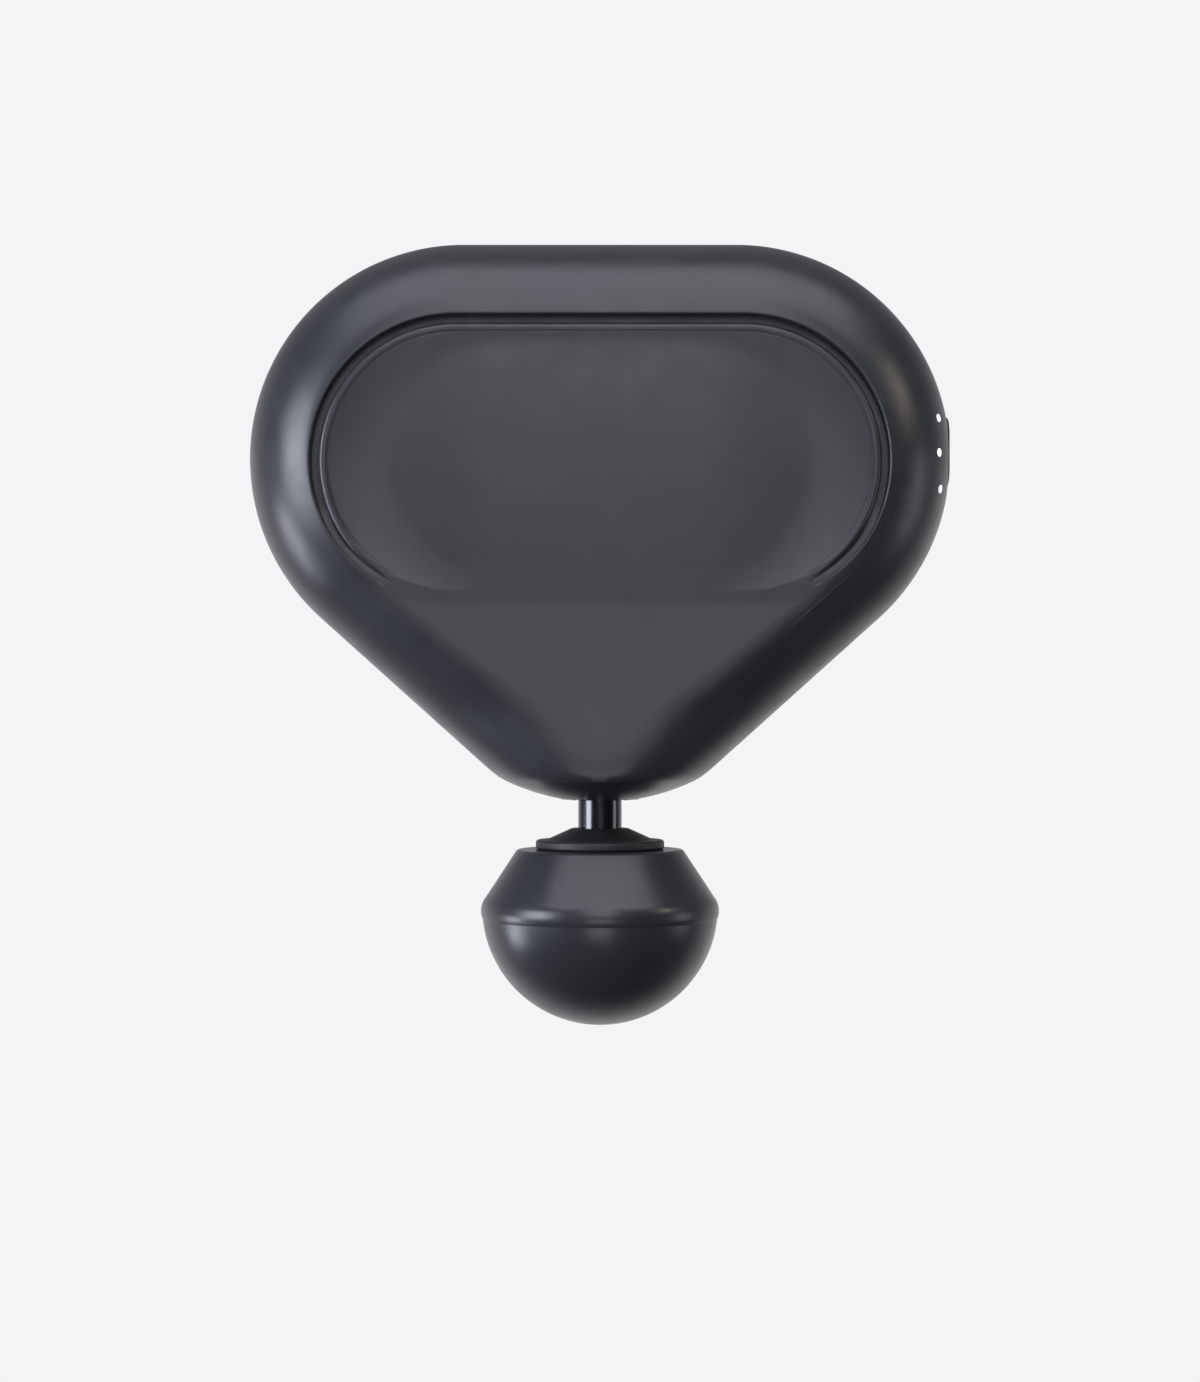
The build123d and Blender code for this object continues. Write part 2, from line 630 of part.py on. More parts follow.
def main_board():
    """Control board behind the panel."""
    board = box(-27, 27, BOARD_FRONT, BOARD_BACK, -27, 12)
    board = fillet(board.edges().filter_by(Axis.Y), 2)
    for x, z in both_sides(BOARD_POSTS):
        board -= rod_y(BOARD_SCREW_RADIUS + 0.1, -13, -10, x, z)
    return board


def board_parts():
    """Controller, power switches and capacitors on the main board."""
    parts = [box(-4, 4, BOARD_FRONT - 1.0, BOARD_FRONT, -8, 0)]
    for index in range(3):
        x = -15 + 7 * index
        parts.append(box(x, x + 5, BOARD_FRONT - 1.1, BOARD_FRONT, -22, -16))
    for x in (12, 17):
        parts.append(box(x, x + 3.2, BOARD_FRONT - 1.8, BOARD_FRONT, -6, -2))
    parts.append(rod_y(2.6, BOARD_FRONT - 2.2, BOARD_FRONT, 12, 5))
    parts.append(box(-18, -9, BOARD_FRONT - 2.0, BOARD_FRONT, 3, 9))
    return Compound(children=parts)


def side_board():
    """Board behind the button."""
    return box(SIDE_BOARD_X0, SIDE_BOARD_X1, -5.6, 7, -12, 12)


def power_switch():
    """Tactile switch with its round plunger."""
    body = box(SIDE_BOARD_X1, 61.0, -3, 3, BUTTON_Z - 3, BUTTON_Z + 3)
    return body + rod_x(1.6, 61.0, 61.6, 0, BUTTON_Z)


def power_button():
    """Button cap, retained by a flange inside the wall."""
    cap = button_outline(0.0, BUTTON_BACK, BUTTON_FACE)
    face = cap.faces().sort_by(Axis.X)[-1]
    cap = fillet(face.edges(), 0.5)
    inner_wall = ARC_X + ARC_RADIUS - WALL
    return cap + button_outline(1.0, BUTTON_BACK, inner_wall - 1.35)


def light_pipe(z, tilt):
    """Clear light pipe with a round head in the wall and a flange inside."""
    frame = lamp_placement(z, tilt)
    head = frame * Pos(0, 0, FIT / 2 - LAMP_DEPTH / 2) * Cylinder(LAMP_RADIUS, LAMP_DEPTH + FIT)
    return head + frame * Pos(0, 0, -3.6) * Cylinder(1.5, 1.6)


def lamp_board_frame():
    """Frame at the board's middle on the outer surface, with the board parallel to it."""
    return lamp_placement(0.0, LAMPS[1][1])


def lamp_board():
    """Tilted board behind the light pipes."""
    return lamp_board_frame() * Pos(0, 0, -8.6) * Box(18, 5, 1.0)


def indicator_leds():
    """Three small lamps on the tilted board, each in line with its light pipe."""
    depth = 7.85
    lamps = []
    for z, tilt in LAMPS:
        along = z * (1 - depth * sin(radians(tilt)) / lamp_reach(tilt))
        across = -(EDGE_ROUND - depth) * sin(radians(tilt - LAMPS[1][1]))
        lamps.append(lamp_board_frame() * Pos(along, across, -depth) * Box(1.6, 1.2, 0.5))
    return Compound(children=lamps)


def charge_board():
    """Small board that carries the charge inlet."""
    return box(PORT_BACK, PORT_BACK + 1.2, -6, 6, -9, 9)


def charge_port():
    """Metal shell of the charge inlet."""
    shell = port_outline(0.0, PORT_FACE, PORT_BACK)
    return shell - port_outline(-0.3, -70, PORT_BACK - 0.4)


def port_tongue():
    """Contact tongue inside the inlet."""
    return box(PORT_FACE + 0.8, PORT_BACK - 0.4, -0.35, 0.35, -3.0, 3.0)


def lead(points):
    """A short lead along a smooth path."""
    path = Spline(*points)
    section = Plane(origin=path @ 0, z_dir=path % 0) * Circle(LEAD_RADIUS)
    return sweep(section, path=path)


def motor_leads():
    """Three phase leads from the motor to the main board."""
    leads = []
    for x in (-3.0, 0.0, 3.0):
        route = [(x, 10.5, 12.2), (x, 9.0, 14.6), (x, 2.0, 15.0), (x, -7.5, 14.0), (x, -10.3, 10.0)]
        leads.append(lead(route))
    return Compound(children=leads)


def battery_leads():
    """Two supply leads from the battery to the main board."""
    leads = []
    for z in (24.6, 27.0):
        x = z - 7.6
        leads.append(lead([(26.2, 0, z), (27.0, -4.0, z - 3), (x + 2, -8.6, 16.0), (x - 3, -10.3, 9.0)]))
    return Compound(children=leads)


def write_housing():
    """Writes the casing and its covers, seals and screws."""
    outer = outer_half()
    inner = inner_half()
    rear_outer = mirror(outer, Plane.XZ)
    rear_inner = mirror(inner, Plane.XZ)
    save("front_shell", front_shell(outer, inner))
    save("rear_shell", rear_shell(rear_outer, rear_inner))
    save("screw_plugs", screw_plugs(rear_outer))
    save("seam_gasket", seam_gasket())
    save("front_panel", front_panel())
    save("rear_pad", rear_pad())
    save("nose_seal", nose_seal())
    save("housing_screws", screw_group(HOUSING_POSTS, WELL_FLOOR, -8.5, SCREW_HEAD_RADIUS, 1.8))


def write_drive():
    """Writes the drive, from the frame and motor to the plunger."""
    save("chassis", chassis())
    save("guide_rails", guide_rails())
    save("chassis_dampers", chassis_dampers())
    save("chassis_screws", screw_group(MOUNT_POSTS, 3.0, 13.5, 2.4, 1.5))
    save("motor_can", motor_can())
    save("motor_stator", motor_stator())
    save("motor_bearings", motor_bearings())
    motor_screws = [screw(x, z, 3.0, MOTOR_Y0 + 1.1, 1.7, 0.3, 1.0) for x, z in motor_screw_points()]
    save("motor_screws", Compound(children=motor_screws))
    save("motor_rotor", motor_rotor())
    save("motor_shaft", motor_shaft())
    save("crank_disc", crank_disc())
    save("crank_pin", crank_pin())
    save("crank_roller", crank_roller())
    save("pin_clip", pin_clip())
    save("yoke", yoke())
    save("yoke_pin", yoke_pin())
    save("plunger_rod", plunger_rod())
    save("snap_ring", snap_ring())
    save("shaft_bushing", shaft_bushing())
    save("stroke_bumper", stroke_bumper())


def write_ball():
    """Writes the ball attachment."""
    save("ball_cover", ball_cover())
    save("ball_core", ball_core())
    save("ball_socket", ball_socket())
    save("ball_collar", ball_collar())


def write_battery():
    """Writes the cells and their frame."""
    save("cell_left", upright_cell(-1))
    save("cell_right", upright_cell(1))
    save("cell_top", top_cell())
    save("battery_frame", battery_frame())
    save("cell_tabs", cell_tabs())


def write_electronics():
    """Writes the boards, button, lamps, inlet and leads."""
    save("main_board", main_board())
    save("board_parts", board_parts())
    save("board_screws", screw_group(BOARD_POSTS, BOARD_BACK, -15.0, 1.6, 1.0, BOARD_SCREW_RADIUS))
    save("side_board", side_board())
    save("power_switch", power_switch())
    save("power_button", power_button())
    for name, (z, tilt) in zip(("light_pipe_high", "light_pipe_mid", "light_pipe_low"), LAMPS):
        save(name, light_pipe(z, tilt))
    save("lamp_board", lamp_board())
    save("indicator_leds", indicator_leds())
    save("charge_board", charge_board())
    save("charge_port", charge_port())
    save("port_tongue", port_tongue())
    save("motor_leads", motor_leads())
    save("battery_leads", battery_leads())


os.makedirs("parts", exist_ok=True)
write_housing()
write_drive()
write_ball()
write_battery()
write_electronics()
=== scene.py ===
import json
from math import cos, hypot, pi, radians, sin, sqrt

import bmesh
import bpy
import numpy as np
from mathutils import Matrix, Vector

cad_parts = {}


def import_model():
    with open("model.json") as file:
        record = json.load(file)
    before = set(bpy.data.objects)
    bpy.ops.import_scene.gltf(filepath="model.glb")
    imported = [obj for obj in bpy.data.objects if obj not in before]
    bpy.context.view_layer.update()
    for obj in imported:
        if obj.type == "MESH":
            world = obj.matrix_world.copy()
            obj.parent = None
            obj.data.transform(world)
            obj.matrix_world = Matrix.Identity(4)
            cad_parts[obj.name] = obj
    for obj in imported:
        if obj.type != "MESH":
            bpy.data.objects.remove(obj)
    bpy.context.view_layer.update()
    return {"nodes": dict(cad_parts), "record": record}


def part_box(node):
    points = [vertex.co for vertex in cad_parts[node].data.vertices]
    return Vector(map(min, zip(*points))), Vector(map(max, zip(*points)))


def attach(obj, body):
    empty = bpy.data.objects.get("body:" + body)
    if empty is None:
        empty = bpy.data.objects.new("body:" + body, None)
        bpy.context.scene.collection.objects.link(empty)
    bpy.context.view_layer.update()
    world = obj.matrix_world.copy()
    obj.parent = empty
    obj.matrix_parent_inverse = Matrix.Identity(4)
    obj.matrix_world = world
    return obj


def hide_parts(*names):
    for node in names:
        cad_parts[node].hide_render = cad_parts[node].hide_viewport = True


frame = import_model()
NODES = frame["nodes"]

MM = 0.001
WELD = 0.000002

# Where the camera stood: straight in front, level, a little below the grip's middle
CAMERA_Y = -0.567
CAMERA_Z = -0.04452
LENS = 76.5
SENSOR = 36.0


# ---- materials -----------------------------------------------------------

PLASTIC_IOR = 1.46
MOTTLE_SCALE = 60
GLOSS_VARY = 0.04


class Nodes:
    """Short calls for building one material's node tree."""

    def __init__(self, name):
        self.material = bpy.data.materials.new(name)
        self.material.use_nodes = True
        self.tree = self.material.node_tree
        self.shader = self.tree.nodes["Principled BSDF"]
        self.place = self.add("ShaderNodeTexCoord").outputs["Object"]

    def add(self, kind, **values):
        node = self.tree.nodes.new(kind)
        for key, value in values.items():
            setattr(node, key, value)
        return node

    def link(self, source, target):
        self.tree.links.new(source, target)

    def noise(self, scale, detail=3.0, rough=0.5, stretch=(1, 1, 1)):
        mapping = self.add("ShaderNodeMapping")
        mapping.inputs["Scale"].default_value = stretch
        self.link(self.place, mapping.inputs["Vector"])
        node = self.add("ShaderNodeTexNoise")
        node.inputs["Scale"].default_value = scale
        node.inputs["Detail"].default_value = detail
        node.inputs["Roughness"].default_value = rough
        self.link(mapping.outputs["Vector"], node.inputs["Vector"])
        return node.outputs["Fac"]

    def span(self, source, low, high, start=0.3, end=0.7):
        node = self.add("ShaderNodeMapRange")
        node.inputs["From Min"].default_value = start
        node.inputs["From Max"].default_value = end
        node.inputs["To Min"].default_value = low
        node.inputs["To Max"].default_value = high
        self.link(source, node.inputs["Value"])
        return node.outputs["Result"]

    def mix(self, factor, first, second):
        node = self.add("ShaderNodeMix", data_type="RGBA")
        node.inputs[6].default_value = (*first, 1)
        node.inputs[7].default_value = (*second, 1)
        self.link(factor, node.inputs["Factor"])
        return node.outputs[2]

    def bump(self, height, distance, strength=1.0, before=None):
        node = self.add("ShaderNodeBump")
        node.inputs["Distance"].default_value = distance
        node.inputs["Strength"].default_value = strength
        self.link(height, node.inputs["Height"])
        if before is not None:
            self.link(before, node.inputs["Normal"])
        return node.outputs["Normal"]

    def set(self, **values):
        for key, value in values.items():
            self.shader.inputs[key.replace("_", " ")].default_value = value


def shade(colour, factor):
    """The colour made lighter or darker by a factor."""
    return tuple(min(1.0, channel * factor) for channel in colour)


def moulded(name, colour, rough, grain, depth, vary=0.08):
    """Moulded plastic or rubber: fine grain, faint mottling and uneven gloss."""
    n = Nodes(name)
    mottling = n.span(n.noise(MOTTLE_SCALE, 4), 0, 1)
    tone = n.mix(mottling, shade(colour, 1 - vary), shade(colour, 1 + vary))
    n.link(tone, n.shader.inputs["Base Color"])
    gloss = n.span(n.noise(MOTTLE_SCALE * 3, 5), rough - GLOSS_VARY, rough + GLOSS_VARY)
    n.link(gloss, n.shader.inputs["Roughness"])
    fine = n.bump(n.noise(grain, 2, 0.6), depth)
    n.link(n.bump(n.noise(grain / 9, 2), depth * 1.5, 0.4, fine), n.shader.inputs["Normal"])
    n.set(IOR=PLASTIC_IOR)
    return n.material


def metal(name, colour, rough, stretch=(1, 1, 1), scale=900, depth=0.000004):
    """Metal with drawn or turned marks along one direction."""
    n = Nodes(name)
    marks = n.noise(scale, 4, 0.6, stretch)
    tone = n.mix(n.span(marks, 0, 1), shade(colour, 0.88), shade(colour, 1.08))
    n.link(tone, n.shader.inputs["Base Color"])
    n.link(n.span(marks, rough * 0.8, rough * 1.3), n.shader.inputs["Roughness"])
    n.link(n.bump(marks, depth), n.shader.inputs["Normal"])
    n.set(Metallic=1.0)
    return n.material


def lamp(name, colour, strength):
    """Lit light pipe, a little uneven across its face."""
    n = Nodes(name)
    cloud = n.mix(n.span(n.noise(1500, 2), 0, 1), shade(colour, 0.94), colour)
    n.link(cloud, n.shader.inputs["Base Color"])
    n.link(cloud, n.shader.inputs["Emission Color"])
    n.link(n.span(n.noise(900, 2), 0.25, 0.35), n.shader.inputs["Roughness"])
    n.set(Emission_Strength=strength)
    return n.material


def materials():
    """Every material slot of the part, with its material."""
    along_rod = (1, 1, 0.04)
    return {
        "soft_black": moulded("soft_touch_shell", (0.022, 0.0235, 0.027), 0.34, 5200, 0.000010),
        "rubber_black": moulded("black_rubber", (0.016, 0.016, 0.018), 0.52, 3800, 0.000015),
        "foam_black": moulded("satin_ball_skin", (0.022, 0.023, 0.027), 0.31, 4200, 0.000006),
        "frame_plastic": moulded("filled_nylon", (0.03, 0.03, 0.033), 0.5, 2600, 0.00002),
        "white_plastic": moulded("acetal_white", (0.78, 0.78, 0.76), 0.35, 2600, 0.00001, 0.03),
        "cell_wrap": moulded("cell_sleeve_blue", (0.02, 0.11, 0.34), 0.28, 1800, 0.00001),
        "circuit_green": moulded("solder_mask_green", (0.012, 0.11, 0.05), 0.3, 2200, 0.00002, 0.2),
        "component_black": moulded("component_epoxy", (0.02, 0.02, 0.02), 0.45, 3000, 0.00002),
        "lead_insulation": moulded("lead_insulation_red", (0.4, 0.02, 0.02), 0.38, 1800, 0.00001),
        "steel": metal("machined_steel", (0.55, 0.56, 0.57), 0.28),
        "motor_steel": metal("motor_steel", (0.35, 0.36, 0.38), 0.35),
        "polished_steel": metal("polished_plunger", (0.07, 0.07, 0.073), 0.19, along_rod, 2400, 0.000002),
        "bronze": metal("sintered_bronze", (0.55, 0.36, 0.17), 0.38, scale=2400, depth=0.00001),
        "copper_winding": metal("copper_winding", (0.7, 0.32, 0.16), 0.3, (1, 0.1, 1), 2600, 0.00003),
        "lamp_white": lamp("lamp_white", (0.95, 0.97, 1.0), 1.0),
    }


def dress(slots):
    """Gives every CAD node its slot's material."""
    for entry in frame["record"]["subparts"]:
        obj = NODES[entry["node"]]
        obj.data.materials.clear()
        obj.data.materials.append(slots[entry["material_slot"]])


# ---- grip body: the front housing and its control panel ---------------------------------
# Sizes in millimetres, as in the CAD part

ARC_RADIUS, ARC_X = 41.1, 26.1
FLANK = radians(41.95)
NOSE_BLEND = 20.5
EDGE_ROUND, BAND, FACE = 20.0, 2.0, 21.25
NOSE_Z, NOSE_DOME = -65.95, 42.0
NOSE_TOP, NOSE_DEEP, NOSE_BORE = -56.0, 0.8, 7.6
DOME_REACH = 1200
SEAM = 0.35
SIDE_FLAT = 66.5

# The face: the panel's rounded lip, the groove round it, and the crease below the dish
EDGE_TURN = 61.5
FACE_BLEND = 0.9
PANEL_X, PANEL_Z = 26.9, -1.5
LIP, GROOVE_OUT = 25.6, 27.1
GROOVE_EASE = 0.4
GROOVE_FLOOR, PANEL_FOOT = 17.6, 17.4
LIP_DEPTH, LIP_CROWN = 20.9, 24.75
LIP_INNER = 23.0
CREASE_Z, CREASE_DEPTH = -28.0, 19.98
DISH_DEPTH, DISH_HIGH, DISH_BOW = 20.75, 6.0, 1500
DISH_SINK = 1.15
FILLET_OUT = 24.4

# Openings: the button's on the right, the charge inlet's on the left, and their turned-in rims
BUTTON_RADIUS, BUTTON_REACH, BUTTON_GAP = 4.0, 2.8, 0.25
PORT_RADIUS, PORT_REACH = 1.75, 2.85
SIDE_START, NOSE_START = 60.0, -58.0
SIDE_CATCH, NOSE_CATCH = 0.35, 0.3
RIM_DEPTH = 1.6

TOP_STEPS, ARC_STEPS, FLANK_STEPS, TIP_STEPS = 24, 110, 60, 16
EDGE_STEPS, FACE_STEPS, LIP_STEPS, DISH_STEPS = 34, 30, 16, 41
SHARP_ANGLE = 40


def step(low, high, value):
    """Smooth step from 0 at low to 1 at high."""
    t = np.clip((value - low) / (high - low), 0, 1)
    return t * t * (3 - 2 * t)


def soft_min(a, b, width):
    """The smaller of two values, rounded off where they are within width of each other."""
    h = np.maximum(width - np.abs(a - b), 0) / width
    return np.minimum(a, b) - h * h * width / 4


def soft_max(a, b, width):
    """The larger of two values, rounded off in the same way."""
    return -soft_min(-a, -b, width)


def all_round(half):
    """A right half, from the top centre down to the bottom centre, joined to its mirror image."""
    other = half[-2:0:-1] * np.array([-1.0, 1.0])
    return np.vstack([half, other])


def level(width, height):
    """The top's straight half, from the middle outwards."""
    count = TOP_STEPS + 1
    return np.column_stack([np.linspace(0, width, count), np.full(count, height)])


def arc(cx, cz, radius, start, end, count):
    """Points on a circle round (cx, cz), both ends included."""
    angles = np.linspace(start, end, count + 1)
    return np.column_stack([cx + radius * np.cos(angles), cz + radius * np.sin(angles)])


def outline(inset):
    """The body's outline, moved inwards, as one closed ring of points."""
    turn = pi / 2 - FLANK
    apex = -(ARC_RADIUS + ARC_X * cos(turn)) / sin(turn)
    tip_z = apex + NOSE_BLEND / sin(turn)
    top = level(ARC_X, ARC_RADIUS - inset)
    side = arc(ARC_X, 0, ARC_RADIUS - inset, pi / 2, -turn, ARC_STEPS)
    tip = arc(0, tip_z, NOSE_BLEND - inset, -turn, -pi / 2, TIP_STEPS)
    flank = np.linspace(side[-1], tip[0], FLANK_STEPS + 1)
    return all_round(np.vstack([top, side[1:], flank[1:], tip[1:]]))


def stadium(radius):
    """The panel's long-round outline, with its points matched to the body's outline."""
    turn = pi / 2 - FLANK
    top = level(PANEL_X, PANEL_Z + radius)
    side = arc(PANEL_X, PANEL_Z, radius, pi / 2, -turn, ARC_STEPS)
    curve = radius * FLANK
    along = np.linspace(0, curve + PANEL_X, FLANK_STEPS + TIP_STEPS + 1)
    angles = -turn - np.minimum(along, curve) / max(radius, 1e-6)
    low = np.column_stack([PANEL_X + radius * np.cos(angles), PANEL_Z + radius * np.sin(angles)])
    low[:, 0] -= np.maximum(along - curve, 0)
    return all_round(np.vstack([top, side[1:], low[1:]]))


def taper(z):
    """How much tighter the edge's rounding gets towards the nose."""
    return 1 + 0.4 * step(-46, -62, z)


def edge_ring(inset):
    """The outline moved inwards, by less where the rounding is tighter.

    The taper depends on the height that a point ends up at, so a few rounds settle it.
    """
    base, full = outline(0.0), outline(inset)
    points = full
    for _ in range(6):
        points = base + (full - base) / taper(points[:, 1])[:, None]
    return points


def face_depth(z):
    """The flat face, which below the panel turns a little upwards as it runs to the nose."""
    fall = np.maximum(CREASE_Z - z, 0)
    lower = CREASE_DEPTH + 0.025 * fall + 0.00085 * fall ** 2
    low = step(-10.0, CREASE_Z, z)
    return FACE * (1 - low) + lower * low


def body_depth(points):
    """How far the housing's face stands in front of the seam, before the groove is cut."""
    edge = outline(0.0)
    ahead = np.roll(edge, -1, axis=0) - np.roll(edge, 1, axis=0)
    normal = np.column_stack([-ahead[:, 1], ahead[:, 0]]) / np.linalg.norm(ahead, axis=1)[:, None]
    reach = np.einsum("ij,ij->i", edge, normal)
    inset = np.min(reach[None, :] - points @ normal.T, axis=1)
    inset = np.clip(inset * taper(points[:, 1]), 0, EDGE_ROUND)
    rounded = BAND + np.sqrt(EDGE_ROUND ** 2 - (EDGE_ROUND - inset) ** 2)
    return soft_min(rounded, face_depth(points[:, 1]), FACE_BLEND)


def panel_reach(points):
    """Distance from the panel's middle line."""
    return np.hypot(np.maximum(np.abs(points[:, 0]) - PANEL_X, 0), points[:, 1] - PANEL_Z)


def dish_depth(points):
    """The panel's crowned floor, which rises in a fillet towards the lip."""
    x, z = np.abs(points[:, 0]), points[:, 1]
    crown = DISH_DEPTH - (z - DISH_HIGH) ** 2 / DISH_BOW
    side = step(18, 46, x)
    fillet = 3.5 + 11.0 * side
    near = np.clip(1 - (FILLET_OUT - panel_reach(points)) / fillet, 0, 1) ** 2
    upper = 1 - step(2, -26, z)
    return crown - DISH_SINK * side * (1 - near) + (0.25 * near - 0.15) * upper


def ledge_depth(points):
    """Where the housing runs into the dish below the panel, with no groove between them."""
    rise = step(23.0, 28.2, panel_reach(points))
    return dish_depth(points) * (1 - rise) + body_depth(points) * rise


def panel_depth(points):
    """The control panel's face, with its rounded lip."""
    reach = panel_reach(points)
    lip = step(23.7, 24.8, reach)
    face = dish_depth(points) * (1 - lip) + LIP_DEPTH * lip
    face -= np.maximum(reach - LIP_CROWN, 0) ** 2
    low = step(-18.0, -25.0, points[:, 1])
    return face * (1 - low) + ledge_depth(points) * low


def nose(vertices):
    """Ends the body on a shallow dome with an eased edge, and flattens its right side."""
    x, y, z = vertices.T
    off_axis = np.minimum(x ** 2 + NOSE_DEEP * y ** 2, DOME_REACH)
    dome = NOSE_Z + NOSE_DOME - np.sqrt(NOSE_DOME ** 2 - off_axis)
    low = step(NOSE_TOP + 4, NOSE_TOP, z)
    z = z + (soft_max(z, dome, 0.7) - z) * low
    return np.column_stack([soft_min(x, np.full_like(x, SIDE_FLAT), 0.3), y, z])


def ring(points, depth):
    """A ring of vertices at the given depth in front of the seam."""
    depth = np.broadcast_to(depth, len(points))
    return np.column_stack([points[:, 0], -depth, points[:, 1]])


def housing_rings():
    """Rings from the seam, round the edge and across the face, down into the groove."""
    rings = [ring(outline(0.0), depth) for depth in (SEAM, 0.9, BAND)]
    for angle in np.radians(np.linspace(2.0, EDGE_TURN, EDGE_STEPS)):
        rings.append(ring(edge_ring(EDGE_ROUND * (1 - cos(angle))), BAND + EDGE_ROUND * sin(angle)))
    start = edge_ring(EDGE_ROUND * (1 - cos(radians(EDGE_TURN))))
    edge = GROOVE_OUT + GROOVE_EASE
    for t in np.linspace(0, 1, FACE_STEPS)[1:]:
        points = start * (1 - t) + stadium(edge) * t
        low = step(-20.0, -26.5, points[:, 1]) * (panel_reach(points) < 28.3)
        rings.append(ring(points, body_depth(points) * (1 - low) + ledge_depth(points) * low))
    for angle in np.radians(np.linspace(15, 90, 6)):
        rings.append(groove_ring(edge - GROOVE_EASE * sin(angle), GROOVE_EASE * (1 - cos(angle)), 0.0))
    for sink in (0.4, 0.8, 1.0):
        rings.append(groove_ring(GROOVE_OUT - 0.02 * sink, GROOVE_EASE, sink))
    for reach in (26.7, 26.3, 25.9, LIP):
        rings.append(groove_ring(reach, GROOVE_EASE, 1.0))
    return rings


def groove_ring(reach, drop, sink):
    """One ring in the groove, which runs out into the ledge towards the bottom."""
    points = stadium(reach)
    top = body_depth(stadium(GROOVE_OUT + GROOVE_EASE))
    depth = (top - drop) * (1 - sink) + GROOVE_FLOOR * sink
    shallow = step(-10.0, -25.5, points[:, 1])
    return ring(points, depth * (1 - shallow) + ledge_depth(points) * shallow)


def panel_rings():
    """Rings from the panel's wall over its lip to its middle line."""
    foot = stadium(LIP)
    rings = [ring(foot, np.minimum(PANEL_FOOT, panel_depth(foot)))]
    over_lip = np.linspace(LIP, LIP_INNER, LIP_STEPS)
    across = np.linspace(LIP_INNER - 0.5, 0.0, DISH_STEPS)
    for reach in np.concatenate([over_lip, across]):
        points = stadium(reach)
        rings.append(ring(points, panel_depth(points)))
    return rings


def skin(rings):
    """A mesh in metres from matched closed rings of vertices, with rings of no width welded."""
    count = len(rings[0])
    mesh = bmesh.new()
    rows = [[mesh.verts.new(v * MM) for v in nose(np.asarray(r))] for r in rings]
    for a, b in zip(rows, rows[1:]):
        for k in range(count):
            j = (k + 1) % count
            mesh.faces.new((a[k], b[k], b[j], a[j]))
    bmesh.ops.remove_doubles(mesh, verts=mesh.verts, dist=WELD)
    bmesh.ops.dissolve_degenerate(mesh, edges=mesh.edges, dist=WELD)
    return mesh


def cut(mesh, inside, snap, inward):
    """Opens a hole: faces inside go, the rim is drawn to its outline and turned inwards."""
    doomed = [face for face in mesh.faces if all(inside(v.co / MM) for v in face.verts)]
    gone = set(doomed)
    edges = dict.fromkeys(e for face in doomed for e in face.edges)
    rim = [e for e in edges if any(f not in gone for f in e.link_faces)]
    bmesh.ops.delete(mesh, geom=doomed, context="FACES")
    deeper = {}
    for v in dict.fromkeys(v for e in rim for v in e.verts):
        v.co = Vector(snap(v.co / MM)) * MM
        deeper[v] = mesh.verts.new(v.co + Vector(inward) * MM)
    for edge in rim:
        start, end = edge.verts
        mesh.faces.new((start, end, deeper[end], deeper[start]))


def make_object(name, mesh, material):
    """A smooth-shaded object from a mesh, which is freed."""
    bmesh.ops.recalc_face_normals(mesh, faces=mesh.faces)
    data = bpy.data.meshes.new(name)
    mesh.to_mesh(data)
    mesh.free()
    for polygon in data.polygons:
        polygon.use_smooth = True
    data.set_sharp_from_angle(angle=radians(SHARP_ANGLE))
    obj = bpy.data.objects.new(name, data)
    bpy.context.scene.collection.objects.link(obj)
    data.materials.append(material)
    return obj


def on_seam(v):
    return abs(v.y) <= SEAM + 0.01


def slot_hole(side, middle, radius, reach):
    """Inside test and rim of an upright slot with round ends, at the right (1) or left (-1) side."""

    def past_straight(v):
        return max(abs(v.z - middle) - reach, 0)

    def inside(v):
        return side * v.x > SIDE_START and hypot(v.y, past_straight(v)) < radius + SIDE_CATCH

    def snap(v):
        end = 1 if v.z > middle else -1
        along = past_straight(v)
        if on_seam(v):
            return (v.x, v.y, middle + end * (reach + sqrt(radius ** 2 - v.y ** 2)))
        if along == 0:
            return (v.x, -radius, v.z)
        size = hypot(v.y, along)
        return (v.x, v.y * radius / size, middle + end * (reach + along * radius / size))

    return inside, snap


def button_hole():
    """The button's opening, level with the button."""
    low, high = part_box("power_button")
    middle = (low.z + high.z) / 2 / MM
    return slot_hole(1, middle, BUTTON_RADIUS + BUTTON_GAP, BUTTON_REACH)


def nose_hole():
    """Inside test and rim of the round opening that the plunger leaves by."""

    def inside(v):
        return v.z < NOSE_START and hypot(v.x, v.y) < NOSE_BORE + NOSE_CATCH

    def snap(v):
        if on_seam(v):
            return (sqrt(NOSE_BORE ** 2 - v.y ** 2) * (1 if v.x > 0 else -1), v.y, v.z)
        size = hypot(v.x, v.y)
        return (v.x * NOSE_BORE / size, v.y * NOSE_BORE / size, v.z)

    return inside, snap


def front_housing(slots):
    """The front half of the housing, with its three openings."""
    mesh = skin(housing_rings())
    cut(mesh, *button_hole(), (-RIM_DEPTH, 0, 0))
    cut(mesh, *nose_hole(), (0, 0, RIM_DEPTH))
    cut(mesh, *slot_hole(-1, 0, PORT_RADIUS, PORT_REACH), (RIM_DEPTH, 0, 0))
    obj = make_object("front_housing", mesh, slots["soft_black"])
    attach(obj, "housing")
    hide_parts("front_shell")


def control_panel(slots):
    """The crowned panel with its lip, which runs out into the crease at the bottom."""
    mesh = skin(panel_rings())
    obj = make_object("control_panel", mesh, slots["soft_black"])
    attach(obj, "housing")
    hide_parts("front_panel")


# ---- studio --------------------------------------------------------------

